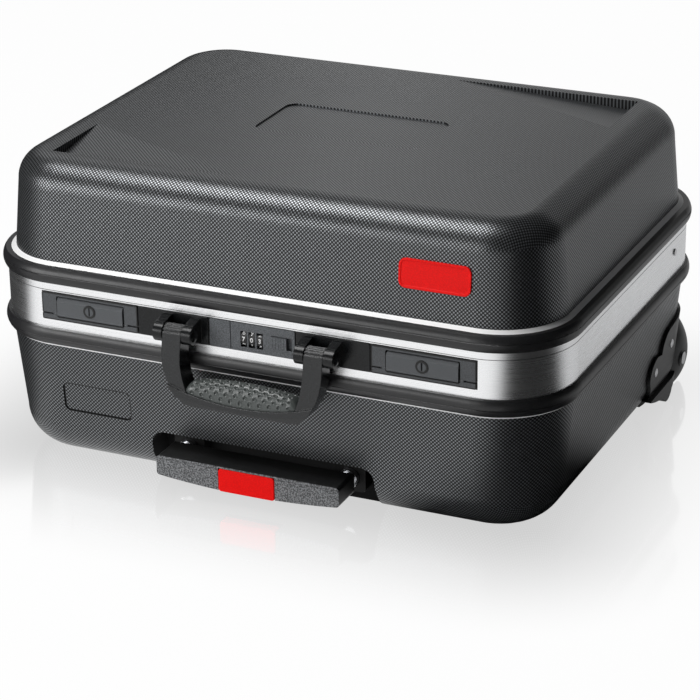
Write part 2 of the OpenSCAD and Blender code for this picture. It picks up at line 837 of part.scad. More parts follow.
module wheel_bolts() color([0.75, 0.75, 0.77]) both_sides() {
    bar_x(well_x - wall, wheel_y, wheel_z, wheel_bolt_r, bolt_face_x - well_x + wall);
    bar_x(bolt_face_x, wheel_y, wheel_z, 5.6, 1.2);
}

// ---------------------------------------------------------------- rear and trim

// Knuckle of a hinge, from x0 to x0 + w
module hinge_knuckle(x0, w) {
    difference() {
        bar_x(x0, hinge_y, hinge_z, hinge_r, w);
        bar_x(x0 - over, hinge_y, hinge_z, hinge_pin_r, w + 2 * over);
    }
}

module base_hinge_leaves() color([0.75, 0.76, 0.78]) {
    side_w = (hinge_w - knuckle_w) / 2 - gap / 2;
    for (x = hinge_xs) {
        block([x - hinge_w / 2, rear_y, parting_z - 30], [x + hinge_w / 2, rear_y + leaf_t, parting_z - 4]);
        for (x0 = [x - hinge_w / 2, x + hinge_w / 2 - side_w]) {
            hinge_knuckle(x0, side_w);
            block([x0, rear_y, parting_z - 5], [x0 + side_w, rear_y + leaf_t, parting_z - 0.9]);
        }
    }
}

module lid_hinge_leaves() color([0.75, 0.76, 0.78]) {
    tab_w = knuckle_w - gap;
    for (x = hinge_xs) {
        block([x - hinge_w / 2, rear_y, parting_z + 3.7], [x + hinge_w / 2, rear_y + leaf_t, parting_z + 6.6]);
        block([x - tab_w / 2, rear_y, parting_z + 1.4], [x + tab_w / 2, rear_y + leaf_t, parting_z + 4]);
        difference() {
            bar_x(x - tab_w / 2, hinge_y, hinge_z, hinge_r, tab_w);
            bar_x(x - tab_w, hinge_y, hinge_z, hinge_pin_r + play, 2 * tab_w);
        }
    }
}

module hinge_pins() color([0.7, 0.7, 0.7]) for (x = hinge_xs)
    bar_x(x - hinge_w / 2, hinge_y, hinge_z, hinge_pin_r, hinge_w);

// Brackets under the lid's frame that the latch hooks meet
module latch_strikers() color([0.7, 0.71, 0.73]) both_sides() {
    for (s = [-1, 1]) block([latch_x + s * hook_x - 4, front_y + 10.2, plate_z - 5.2],
        [latch_x + s * hook_x + 4, front_y + 12.2, lid_bottom_z]);
    block([latch_x - hook_x - 4, catch_y, plate_z - 5.2], [latch_x + hook_x + 4, front_y + 12.2, plate_z - 2.6]);
}

module stand_feet() color([0.05, 0.05, 0.05]) {
    foot_z = 222;
    difference() {
        both_sides() translate([180, rear_y + 5, foot_z]) rotate([90, 0, 0])
            cylinder(r1 = 8, r2 = 11, h = 20);
        lid_form();
    }
}

// Rivets of the wheel housings, the hinges and the frame
module rivets() color([0.8, 0.8, 0.81]) {
    both_sides() {
        for (p = housing_rivets) housing_rivet(p);
        bar_x(band_w / 2, 110.5, plate_z + 1.6, 3, 1);
    }
    for (x = hinge_xs, s = [-1, 1]) bar_y(x + s * 20, rear_y + leaf_t, plate_z - 4, 2.6, 1);
}

base_shell();
base_frame();
base_bumper();
frame_seal();
floor_panel();
left_latch_plate();
right_latch_plate();
latch_pins();
left_handle_mount();
right_handle_mount();
handle_pins();
lock_plate();
lock_spindle();
base_hinge_leaves();
hinge_pins();
left_wheel_housing();
right_wheel_housing();
wheel_bolts();
rivets();
outer_tubes();
tube_collars();
tube_rear_bracket();
lid_shell();
lid_frame();
lid_bumper();
lid_hinge_leaves();
latch_strikers();
stand_feet();
left_latch_lever();
right_latch_lever();
left_key_cylinder();
right_key_cylinder();
number_wheel(0);  // number_wheel_1
number_wheel(1);  // number_wheel_2
number_wheel(2);  // number_wheel_3
lock_slide();
handle_frame();
handle_pad();
middle_tubes();
inner_tubes();
pull_grip();
release_button();
left_wheel_hub();
left_wheel_tyre();
right_wheel_hub();
right_wheel_tyre();
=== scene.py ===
import math

import bmesh
import bpy
from mathutils import Matrix, Vector


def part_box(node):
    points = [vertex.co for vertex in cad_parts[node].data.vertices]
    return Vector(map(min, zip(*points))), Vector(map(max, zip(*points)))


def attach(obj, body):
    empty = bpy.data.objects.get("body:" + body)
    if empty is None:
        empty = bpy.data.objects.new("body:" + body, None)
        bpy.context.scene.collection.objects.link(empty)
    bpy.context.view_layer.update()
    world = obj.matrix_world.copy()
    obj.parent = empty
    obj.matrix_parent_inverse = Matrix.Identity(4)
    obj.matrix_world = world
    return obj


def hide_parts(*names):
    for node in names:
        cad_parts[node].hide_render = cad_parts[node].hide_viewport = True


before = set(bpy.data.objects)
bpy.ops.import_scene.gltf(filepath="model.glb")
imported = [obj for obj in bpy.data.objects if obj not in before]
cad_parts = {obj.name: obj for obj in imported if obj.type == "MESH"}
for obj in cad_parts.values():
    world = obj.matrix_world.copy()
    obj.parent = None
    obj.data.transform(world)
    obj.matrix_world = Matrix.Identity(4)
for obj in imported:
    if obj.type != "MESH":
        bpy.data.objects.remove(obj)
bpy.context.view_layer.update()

bl_info = {
    "name": "Wheeled Tool Case",
    "version": (1, 0, 0),
    "blender": (4, 5, 0),
    "location": "3D View > Sidebar > Tool Case",
    "description": "Dresses the packed frame of a wheeled hard tool case",
    "category": "Object",
}

MM = 0.001

# Plan of the shells' walls: half sizes of the core between the upright corners, and the
# way round one corner as the grain counts it
CORE_X, CORE_Y = 0.186, 0.132
CORNER_WAY = 0.0854
# Inside of the pull handle's recess, which is painted black as shade: half width, top, and its
# reach from front to back
RECESS_HALF, RECESS_TOP, RECESS_FRONT, RECESS_BACK = 0.1006, 0.0426, -0.1845, -0.1
# Field on the front of the base, with a painted shadow line round it: middle in x and z, width,
# height and corner
FIELD_X, FIELD_Z, FIELD_WIDTH, FIELD_HEIGHT, FIELD_CORNER = -0.1488, 0.0602, 0.0625, 0.0257, 0.005
# Painted shadow on the band, in the gaps between the front plates and in a thin line round them:
# its face, half width, middle height and half height
PLATE_SHADOW_Y, PLATE_SHADOW_HALF, PLATE_SHADOW_Z, PLATE_SHADOW_RISE = -0.1955, 0.1915, 0.1433, 0.0123
# Heights past which the bands end in their matt lips
LIP_FOOT, LIP_TOP = 0.1093, 0.1763
# Painted shadow lines on the latch plates, round the flap and along the plate's own edge:
# distance of the middle from x = 0, height of the middle, width and height
PLATE_SHADOW_LINES = ((0.1463, 0.1433, 0.0605, 0.0166), (0.1469, 0.1433, 0.0882, 0.0238))
# Key cylinders: distance from x = 0, height, and radius at which the dark ring begins
KEY_X, KEY_Z, KEY_RING = 0.1463, 0.1437, 0.0036


def node_box(name):
    """Lowest and highest corner of a node, in millimetres."""
    low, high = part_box(name)
    return low / MM, high / MM


# ------------------------------------------------------------------ settings


class CaseSizes(bpy.types.PropertyGroup):
    """Sizes that a maker may change without touching the frame."""

    grain_pitch: bpy.props.FloatProperty(
        name="Grain pitch", description="Distance between rows of grain dots on the shells",
        default=54 / 17 * MM, min=0.002, max=0.005, unit="LENGTH")
    grain_height: bpy.props.FloatProperty(
        name="Grain height", description="How far a grain dot stands out",
        default=0.15 * MM, min=0.0, max=0.002, unit="LENGTH")
    plate_width: bpy.props.FloatProperty(
        name="Plate width", description="Width of the plain plate on the lid",
        default=60 * MM, min=0.03, max=0.08, unit="LENGTH")
    plate_height: bpy.props.FloatProperty(
        name="Plate height", description="Height of the plain plate on the lid",
        default=24 * MM, min=0.01, max=0.035, unit="LENGTH")


class CaseColours(bpy.types.PropertyGroup):
    """Colours of the case's finishes."""

    shell: bpy.props.FloatVectorProperty(
        name="Shell", description="Moulded shells", subtype="COLOR", size=3,
        default=(0.022, 0.023, 0.024), min=0, max=1)
    bumper: bpy.props.FloatVectorProperty(
        name="Bumper", description="Extruded bumpers", subtype="COLOR", size=3,
        default=(0.014, 0.014, 0.015), min=0, max=1)
    plate: bpy.props.FloatVectorProperty(
        name="Plate", description="Front plates and flaps", subtype="COLOR", size=3,
        default=(0.058, 0.062, 0.067), min=0, max=1)
    handle: bpy.props.FloatVectorProperty(
        name="Handle", description="Carry handle and its mounts", subtype="COLOR", size=3,
        default=(0.009, 0.010, 0.011), min=0, max=1)
    pad: bpy.props.FloatVectorProperty(
        name="Pad", description="Soft pad of the carry handle", subtype="COLOR", size=3,
        default=(0.095, 0.106, 0.102), min=0, max=1)
    grip: bpy.props.FloatVectorProperty(
        name="Grip", description="Pull grip", subtype="COLOR", size=3,
        default=(0.115, 0.118, 0.122), min=0, max=1)
    red: bpy.props.FloatVectorProperty(
        name="Red", description="Button and plain plate", subtype="COLOR", size=3,
        default=(0.90, 0.005, 0.004), min=0, max=1)
    housing: bpy.props.FloatVectorProperty(
        name="Housing", description="Wheel housings", subtype="COLOR", size=3,
        default=(0.020, 0.021, 0.022), min=0, max=1)


def sizes():
    return bpy.context.scene.case_sizes


def colours():
    return bpy.context.scene.case_colours


# ------------------------------------------------------------------ shader sums


class Sum:
    """A socket of a shader tree that takes part in Python arithmetic."""

    def __init__(self, paint, socket):
        self.paint = paint
        self.socket = socket

    def calc(self, operation, *others):
        return self.paint.node("ShaderNodeMath", {"operation": operation}, [self, *others])

    def __add__(self, other):
        return self.calc("ADD", other)

    __radd__ = __add__

    def __mul__(self, other):
        return self.calc("MULTIPLY", other)

    __rmul__ = __mul__

    def __sub__(self, other):
        return self.calc("SUBTRACT", other)

    def __rsub__(self, other):
        return self.paint.node("ShaderNodeMath", {"operation": "SUBTRACT"}, [other, self])

    def __truediv__(self, other):
        return self.calc("DIVIDE", other)

    def __pow__(self, other):
        return self.calc("POWER", other)

    def __abs__(self):
        return self.calc("ABSOLUTE")


class Paint:
    """A material's tree. Every node is added by the method node."""

    def __init__(self, name):
        self.material = bpy.data.materials.new(name)
        self.material.use_nodes = True
        self.tree = self.material.node_tree
        self.tree.nodes.clear()

    def node(self, kind, settings=None, values=(), output=0):
        """Adds a node with its settings and its sockets' values or links."""
        made = self.tree.nodes.new(kind)
        for key, value in (settings or {}).items():
            if key == "stops":
                ramp = made.color_ramp.elements
                while len(ramp) < len(value):
                    ramp.new(0.5)
                for stop, (position, colour) in zip(ramp, value):
                    stop.position = position
                    stop.color = colour
            else:
                setattr(made, key, value)
        pairs = values.items() if isinstance(values, dict) else enumerate(values)
        for key, value in pairs:
            if isinstance(value, Sum):
                self.tree.links.new(value.socket, made.inputs[key])
            else:
                made.inputs[key].default_value = value
        return Sum(self, made.outputs[output]) if made.outputs else None

    def place(self):
        """The point on the piece, in metres, as x, y and z."""
        point = self.node("ShaderNodeTexCoord", output="Object")
        return [self.node("ShaderNodeSeparateXYZ", values=[point], output=i) for i in range(3)]

    def point(self, x, y, z):
        return self.node("ShaderNodeCombineXYZ", values=[x, y, z])

    def outline(self, u, v, width, height, corner):
        """Distance from a rounded rectangle's outline, below 0 inside it, for sizes in metres."""
        sides = [abs(u) - (width / 2 - corner), abs(v) - (height / 2 - corner)]
        out = [side.calc("MAXIMUM", 0.0) for side in sides]
        within = sides[0].calc("MAXIMUM", sides[1]).calc("MINIMUM", 0.0)
        return (out[0] * out[0] + out[1] * out[1]) ** 0.5 + within - corner

    def noise(self, vector, scale, detail=2.0, roughness=0.5):
        return self.node("ShaderNodeTexNoise", {"noise_dimensions": "3D"}, {
            "Vector": vector, "Scale": scale, "Detail": detail, "Roughness": roughness})

    def step(self, value, low, high, start=0.0, end=1.0):
        """A smooth step from start to end as the value goes from low to high."""
        return self.node("ShaderNodeMapRange", {"interpolation_type": "SMOOTHSTEP"}, {
            "Value": value, "From Min": low, "From Max": high, "To Min": start, "To Max": end})

    def mixed(self, share, dark, light):
        """Colour between dark and light, which are colours or links."""
        ends = [end if isinstance(end, Sum) else (*end, 1) for end in (dark, light)]
        return self.node("ShaderNodeMix", {"data_type": "RGBA"}, {
            0: share, 6: ends[0], 7: ends[1]}, output=2)

    def relief(self, height, depth, strength=1.0, under=None):
        """Normal of a height field, whose height is in 0 to 1 and depth in metres."""
        values = {"Strength": strength, "Distance": depth, "Height": height}
        if under is not None:
            values["Normal"] = under
        return self.node("ShaderNodeBump", values=values)

    def surface(self, **sockets):
        """Closes the tree with a Principled surface."""
        shader = self.node("ShaderNodeBsdfPrincipled", values={
            key.replace("_", " ").title().replace("Ior", "IOR"): value
            for key, value in sockets.items()})
        self.node("ShaderNodeOutputMaterial", values=[shader])
        return self.material


def tint(colour, factor):
    return tuple(min(1.0, channel * factor) for channel in colour)


def plain_moulding(name, colour, roughness, grain=0.00004, size=1400, speck=0.15, edge=0.0,
                   sheen=0.5):
    """Moulded plastic with a spark-eroded grain, lighter specks and slight sheen changes.

    grain is the depth of the grain, size its scale, speck how much lighter the specks are,
    edge the radius to which the shading softens sharp edges and sheen the specular level."""
    paint = Paint(name)
    x, y, z = paint.place()
    here = paint.point(x, y, z)
    fine = paint.noise(here, size, 2.0)
    broad = paint.noise(here, 24, 3.0)
    specks = paint.step(fine, 0.42, 0.62)
    soft = None
    if edge:
        soft = paint.node("ShaderNodeBevel", {"samples": 6}, {"Radius": edge})
    return paint.surface(
        base_color=paint.mixed(specks * 0.8 + broad * 0.2, tint(colour, 1 - speck),
                               tint(colour, 1 + 1.6 * speck)),
        roughness=broad * 0.10 + (roughness - 0.05),
        specular_ior_level=sheen,
        normal=paint.relief(fine, grain, 1.0, soft))


def plate_metal(name, colour, roughness, size, speck, shadow_lines):
    """Painted plate with a fine speck, and with painted shadow lines, dark along the outlines of
    what lies on it.
    """
    paint = Paint(name)
    x, y, z = paint.place()
    fine = paint.noise(paint.point(x, y, z), size, 2.0)
    specks = paint.step(fine, 0.42, 0.62)
    # Painted shadow: black lines along the outlines of the flaps and of the plate itself
    dark = None
    for away, level, width, height in shadow_lines:
        off = paint.outline(abs(x) - away, z - level, width, height, 0.001)
        near = abs(off).calc("LESS_THAN", 0.0011)
        dark = near if dark is None else dark.calc("MAXIMUM", near)
    speckled = paint.mixed(specks, tint(colour, 1 - speck), tint(colour, 1 + 1.6 * speck))
    return paint.surface(
        base_color=paint.mixed(dark, speckled, (0.003, 0.003, 0.003)),
        roughness=dark * 0.1 + roughness,
        normal=paint.relief(fine, 0.00003))


def metal(name, colour, roughness, streaks=0.0):
    """Metal with soft wear, and with drawn streaks along z if streaks is above 0."""
    paint = Paint(name)
    x, y, z = paint.place()
    broad = paint.noise(paint.point(x, y, z), 60, 3.0)
    lines = paint.noise(paint.point(x * 8, y * 8, z * 900), 1.0, 3.0)
    return paint.surface(
        base_color=paint.mixed(lines, tint(colour, 0.93), tint(colour, 1.04)),
        metallic=1.0,
        roughness=broad * 0.08 + lines * streaks + (roughness - 0.04 - streaks / 2),
        normal=paint.relief(lines, 0.00002 if streaks else 0.000004))


def band_metal(name, colour):
    """Drawn aluminium with a matt lip, and painted black shadow in the gaps between the front
    plates and round them.
    """
    paint = Paint(name)
    x, y, z = paint.place()
    broad = paint.noise(paint.point(x, y, z), 40, 3.0)
    lines = paint.noise(paint.point(x * 6, y * 6, z * 1100), 1.0, 4.0, 0.6)
    # Painted shadow: black on the band in the gaps between the front plates and round them
    plate_shadow = (y.calc("LESS_THAN", PLATE_SHADOW_Y) * abs(x).calc("LESS_THAN", PLATE_SHADOW_HALF)
              * abs(z - PLATE_SHADOW_Z).calc("LESS_THAN", PLATE_SHADOW_RISE))
    lip = z.calc("GREATER_THAN", LIP_TOP) + z.calc("LESS_THAN", LIP_FOOT)
    drawn = paint.mixed(lines, tint(colour, 0.86), tint(colour, 1.08))
    cut = paint.mixed(lip, drawn, (0.92, 0.92, 0.92))
    return paint.surface(
        base_color=paint.mixed(plate_shadow, cut, (0.004, 0.004, 0.004)),
        metallic=(1 - plate_shadow) * (1 - lip * 0.7),
        roughness=broad * 0.08 + lines * 0.2 + 0.14 + lip * 0.3,
        normal=paint.relief(lines, 0.00003))


def shell_finish(name, flat_z, edge_r, edge_at):
    """Black moulding with staggered grain dots that follow its walls, edges and top.

    flat_z is the height of the flat side, edge_r the radius of its edge and edge_at
    the distance from the core at which that edge begins."""
    pitch = sizes().grain_pitch
    paint = Paint(name)
    x, y, z = paint.place()
    # Distances past the core at an upright corner
    corner_x = (abs(x) - CORE_X).calc("MAXIMUM", 0.0)
    corner_y = (abs(y) - CORE_Y).calc("MAXIMUM", 0.0)
    reach = (corner_x * corner_x + corner_y * corner_y) ** 0.5
    # Way along the section from the flat side over the edge and down the wall
    below = abs(z - flat_z)
    out = (reach - edge_at).calc("MAXIMUM", 0.0)
    turn = out.calc("ARCTAN2", (edge_r - below).calc("MAXIMUM", 0.0))
    down = (below - edge_r).calc("MAXIMUM", 0.0)
    way = reach.calc("MINIMUM", edge_at) + turn * edge_r + down
    # On straight sides the way runs straight out of the core
    flat_u = abs(x) + (way - reach) * corner_x / (reach + 1e-6)
    flat_v = abs(y) + (way - reach) * corner_y / (reach + 1e-6)
    # Round the upright corners the rows run on along the wall
    wall_u = corner_x.calc("ARCTAN2", corner_y) * (2 / math.pi * CORNER_WAY) + CORE_X
    wall_v = way + CORE_Y
    is_corner = corner_x.calc("MINIMUM", corner_y).calc("GREATER_THAN", 1e-5)
    is_wall = is_corner * turn.calc("GREATER_THAN", 1.30)
    u = flat_u + (wall_u - flat_u) * is_wall
    v = flat_v + (wall_v - flat_v) * is_wall
    wave = 2 * math.pi / pitch
    crest = (u * wave).calc("COSINE") * (v * wave).calc("COSINE")
    dots = crest * 0.5 + 0.5
    tops = paint.step(crest, -0.15, 0.65)
    # Painted shade: smooth and black inside the pull handle's recess, and a painted shadow line
    # round the field
    inside = (abs(x).calc("LESS_THAN", RECESS_HALF) * z.calc("LESS_THAN", RECESS_TOP)
              * y.calc("GREATER_THAN", RECESS_FRONT) * y.calc("LESS_THAN", RECESS_BACK))
    field_shadow = abs(paint.outline(x - FIELD_X, z - FIELD_Z, FIELD_WIDTH, FIELD_HEIGHT,
                               FIELD_CORNER) + 0.0004)
    field_shadow = field_shadow.calc("LESS_THAN", 0.0007) * y.calc("LESS_THAN", -0.15)
    tops = tops * (1 - inside) * (1 - field_shadow)
    here = paint.point(x, y, z)
    broad = paint.noise(here, 9, 3.0)
    worn = paint.relief(paint.noise(here, 1100, 2.0), 0.00003)
    return paint.surface(
        base_color=paint.mixed(tops, tint(colours().shell, 0.2), tint(colours().shell, 11)),
        metallic=tops * 0.9,
        roughness=broad * 0.06 + inside * 0.5 + (0.34 - tops * 0.08),
        specular_ior_level=0.3,
        normal=paint.relief(dots * (1 - inside), sizes().grain_height, 1.0, worn))


def dress(material, *nodes):
    """Gives nodes of the frame a material."""
    for name in nodes:
        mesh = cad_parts[name].data
        mesh.materials.clear()
        mesh.materials.append(material)


# ------------------------------------------------------------------ modelling


def start(piece):
    """Makes a piece the active and only selected object."""
    bpy.ops.object.select_all(action="DESELECT")
    piece.select_set(True)
    bpy.context.view_layer.objects.active = piece


def copied(node, name):
    """A copy of a node's mesh, merged and cleared of flat edges."""
    piece = bpy.data.objects.new(name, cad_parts[node].data.copy())
    bpy.context.scene.collection.objects.link(piece)
    start(piece)
    bpy.ops.object.mode_set(mode="EDIT")
    bpy.ops.mesh.select_all(action="SELECT")
    bpy.ops.mesh.remove_doubles(threshold=1e-6)
    bpy.ops.mesh.customdata_custom_splitnormals_clear()
    bpy.ops.mesh.dissolve_limited(angle_limit=math.radians(0.5))
    bpy.ops.object.mode_set(mode="OBJECT")
    return piece


def block(name, low, high):
    """A box between two corners in millimetres, as a start for a piece."""
    low, high = Vector(low) * MM, Vector(high) * MM
    bpy.ops.mesh.primitive_cube_add(size=1, location=(low + high) / 2, scale=high - low)
    bpy.ops.object.transform_apply()
    bpy.context.object.name = name
    return bpy.context.object


def round_edges(piece, width, segments=2, where=None, sharp=28, clamp=False):
    """Rounds the sharp edges whose ends both pass the test, given in millimetres."""
    start(piece)
    bpy.ops.object.mode_set(mode="EDIT")
    bpy.ops.mesh.select_mode(type="EDGE")
    bpy.ops.mesh.select_all(action="DESELECT")
    mesh = bmesh.from_edit_mesh(piece.data)
    for edge in mesh.edges:
        if len(edge.link_faces) == 2 and edge.calc_face_angle(0) > math.radians(sharp):
            if where is None or all(where(*(vert.co / MM)) for vert in edge.verts):
                edge.select_set(True)
    bmesh.update_edit_mesh(piece.data)
    bpy.ops.mesh.bevel(offset=width, segments=segments, affect="EDGES", clamp_overlap=clamp)
    bpy.ops.object.mode_set(mode="OBJECT")
    return piece


def select_faces(piece, where):
    """Enters edit mode with the faces selected whose centre, in millimetres, and normal pass."""
    start(piece)
    bpy.ops.object.mode_set(mode="EDIT")
    bpy.ops.mesh.select_mode(type="FACE")
    bpy.ops.mesh.select_all(action="DESELECT")
    mesh = bmesh.from_edit_mesh(piece.data)
    for face in mesh.faces:
        if where(face.calc_center_median() / MM, face.normal):
            face.select_set(True)
    bmesh.update_edit_mesh(piece.data)


def finish_piece(piece, body, material, slot, *nodes):
    """Smooths a piece, gives it its finish and fastens it to its body."""
    start(piece)
    bpy.ops.object.shade_smooth_by_angle(angle=math.radians(35))
    bpy.ops.object.modifier_add(type="WEIGHTED_NORMAL")
    piece.modifiers[-1].keep_sharp = True
    bpy.ops.object.modifier_apply(modifier=piece.modifiers[-1].name)
    piece.data.materials.clear()
    piece.data.materials.append(material)
    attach(piece, body)
    if nodes:
        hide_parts(*nodes)
    return piece


# ------------------------------------------------------------------ pieces


class CASE_OT_shells(bpy.types.Operator):
    """Finishes both shells and the floor panel"""

    bl_idname = "case.shells"
    bl_label = "Shells"

    def execute(self, context):
        dress(shell_finish("lid_shell_finish", 0.2605, 0.0257, 0.0258), "lid_shell")
        dress(shell_finish("base_shell_finish", 0.0, 0.035, 0.0196), "base_shell")
        dress(plain_moulding("panel_finish", (0.05, 0.05, 0.053), 0.6), "floor_panel")
        return {"FINISHED"}


class CASE_OT_plain_plate(bpy.types.Operator):
    """Adds the plain red plate on the front of the lid"""

    bl_idname = "case.plain_plate"
    bl_label = "Plain red plate"

    def execute(self, context):
        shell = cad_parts["lid_shell"]
        origin = Vector((152, -300, 214.5)) * MM
        hit, point, normal, _ = shell.ray_cast(origin, Vector((0, 1, 0)))
        if not hit:
            raise RuntimeError("the lid has no wall behind the plain plate")
        width, height, thick = sizes().plate_width / MM, sizes().plate_height / MM, 1.6
        plate = block("plain_red_plate", (-width / 2, -thick, -height / 2),
                      (width / 2, 0.3, height / 2))
        # Corners, seen from the front
        start(plate)
        bpy.ops.object.mode_set(mode="EDIT")
        bpy.ops.mesh.select_mode(type="EDGE")
        bpy.ops.mesh.select_all(action="DESELECT")
        mesh = bmesh.from_edit_mesh(plate.data)
        for edge in mesh.edges:
            way = edge.verts[0].co - edge.verts[1].co
            edge.select_set(abs(way.y) > abs(way.x) + abs(way.z))
        bmesh.update_edit_mesh(plate.data)
        bpy.ops.mesh.bevel(offset=6 * MM, segments=8, affect="EDGES")
        bpy.ops.object.mode_set(mode="OBJECT")
        # A shallow field inside a rim
        select_faces(plate, lambda centre, n: n.y < -0.9)
        bpy.ops.mesh.inset(thickness=1.8 * MM)
        bpy.ops.mesh.inset(thickness=0.4 * MM, depth=-0.4 * MM)
        bpy.ops.object.mode_set(mode="OBJECT")
        round_edges(plate, 0.3 * MM, 2, lambda x, y, z: y < -thick + 0.1, 40)
        tilt = math.atan2(normal.z, -normal.y)
        plate.matrix_world = Matrix.Translation(point) @ Matrix.Rotation(-tilt, 4, "X")
        start(plate)
        bpy.ops.object.transform_apply()
        finish_piece(plate, "lid", plain_moulding(
            "plain_plate_finish", colours().red, 0.4, 0.00001, 900, 0.05, sheen=0.15), "plate")
        return {"FINISHED"}


class CASE_OT_frames(bpy.types.Operator):
    """Finishes the aluminium frames, the bumpers and the seal"""

    bl_idname = "case.frames"
    bl_label = "Frames"

    def execute(self, context):
        dress(band_metal("band_finish", (0.90, 0.905, 0.915)), "base_frame", "lid_frame")
        dress(plain_moulding("bumper_finish", colours().bumper, 0.36, 0.00001, 700),
              "base_bumper", "lid_bumper")
        dress(plain_moulding("seal_finish", (0.015, 0.015, 0.015), 0.7), "frame_seal")
        return {"FINISHED"}


class CASE_OT_plates(bpy.types.Operator):
    """Finishes the latch plates, the flaps and the key cylinders"""

    bl_idname = "case.plates"
    bl_label = "Latch plates"

    def key_finish(self):
        """Dull cylinder face with a dark ring round it."""
        paint = Paint("key_finish")
        x, y, z = paint.place()
        out = ((abs(x) - KEY_X) ** 2 + (z - KEY_Z) ** 2) ** 0.5
        ring = out.calc("GREATER_THAN", KEY_RING)
        return paint.surface(
            base_color=paint.mixed(ring, tint(colours().plate, 1.3), (0.006, 0.006, 0.006)),
            roughness=0.42 + ring * 0.1, specular_ior_level=0.4)

    def execute(self, context):
        plate = colours().plate
        plates = plate_metal("plate_finish", plate, 0.50, 2600, 0.3, PLATE_SHADOW_LINES)
        dress(plain_moulding("flap_finish", tint(plate, 1.25), 0.45, 0.00002, 2600, 0.12,
                             0.5 * MM), "left_latch_lever", "right_latch_lever")
        keys = self.key_finish()
        for side in ("left", "right"):
            piece = copied(f"{side}_latch_plate", f"{side}_latch_plate_pressed")
            round_edges(piece, 0.3 * MM, 2, clamp=True)
            finish_piece(piece, "case", plates, "plate", f"{side}_latch_plate")
            piece = copied(f"{side}_key_cylinder", f"{side}_key_face")
            round_edges(piece, 0.25 * MM, 2, clamp=True)
            finish_piece(piece, f"{side}_key", keys, "key", f"{side}_key_cylinder")
        dress(metal("pin_finish", (0.62, 0.62, 0.63), 0.3), "hinge_pins", "wheel_bolts", "rivets")
        dress(metal("black_pin_finish", (0.03, 0.03, 0.03), 0.4),
              "handle_pins", "lock_spindle", "latch_strikers")
        dress(plates, "latch_pins")
        return {"FINISHED"}


class CASE_OT_number_lock(bpy.types.Operator):
    """Finishes the lock plate and its slide, and adds plain digits to the number wheels"""

    bl_idname = "case.number_lock"
    bl_label = "Number lock"

    # Digits: height of a line, how far they rise, and how far apart their strips are cut
    size = 5.4 * MM
    rise = 0.03 * MM
    strip = 0.45 * MM
    firsts = (7, 0, 3)

    def digits(self, wheel, first, material):
        """Ten plain digits round a number wheel, the first one in its window."""
        low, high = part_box(wheel)
        centre = (low + high) / 2
        rim = (high.z - low.z) / 2
        made = []
        for k in range(10):
            bpy.ops.object.text_add()
            text = bpy.context.object
            text.data.body = str((first + k) % 10)
            text.data.align_x = text.data.align_y = "CENTER"
            text.data.size = self.size
            text.data.extrude = self.rise
            text.data.resolution_u = 3
            text.data.offset = 0.12 * MM
            bpy.ops.object.convert(target="MESH")
            # Cut into strips, so that the faces follow the rim once they are bent to it
            start(text)
            bpy.ops.object.mode_set(mode="EDIT")
            for row in range(-4, 5):
                bpy.ops.mesh.select_all(action="SELECT")
                bpy.ops.mesh.bisect(plane_co=(0, row * self.strip, 0), plane_no=(0, 1, 0))
            bpy.ops.object.mode_set(mode="OBJECT")
            # Bent to the rim, stood up to face the front and turned to its place
            for vert in text.data.vertices:
                vert.co.z += math.sqrt(rim * rim - vert.co.y ** 2) + 0.01 * MM
            stood = Matrix.Rotation(math.radians(90), 4, "X")
            turned = Matrix.Rotation(math.radians(36 * k), 4, "X")
            text.matrix_world = Matrix.Translation(centre) @ turned @ stood
            bpy.ops.object.transform_apply()
            made.append(text)
        bpy.ops.object.select_all(action="DESELECT")
        for text in made:
            text.select_set(True)
        bpy.context.view_layer.objects.active = made[0]
        bpy.ops.object.join()
        made[0].name = f"{wheel}_digits"
        finish_piece(made[0], wheel, material, "number_wheel")

    def execute(self, context):
        plate = colours().plate
        plates = plain_moulding("lock_plate_finish", tint(plate, 1.5), 0.55, 0.00012, 1500, 0.45)
        piece = round_edges(copied("lock_plate", "lock_plate_pressed"), 0.2 * MM)
        finish_piece(piece, "case", plates, "plate", "lock_plate")
        piece = round_edges(copied("lock_slide", "lock_slide_button"), 0.3 * MM, clamp=True)
        finish_piece(piece, "slide", plates, "slide", "lock_slide")
        # Floor of the slot in which the slide moves
        front = node_box("base_frame")[0].y
        floor = block("slide_slot_floor", (13.4, front + 1.8, 134.6), (35.6, front + 2.3, 151.4))
        round_edges(floor, 0.1 * MM)
        finish_piece(floor, "case", plates, "plate")
        wheels = plain_moulding("number_finish", (0.008, 0.008, 0.008), 0.35, 0.00001, 900)
        white = plain_moulding("digit_finish", (0.75, 0.75, 0.75), 0.5, 0.000005, 900, 0.03)
        for k, first in enumerate(self.firsts):
            wheel = f"number_wheel_{k + 1}"
            piece = round_edges(copied(wheel, f"{wheel}_rim"), 0.2 * MM, clamp=True)
            finish_piece(piece, wheel, wheels, "number_wheel", wheel)
            self.digits(wheel, first, white)
        return {"FINISHED"}


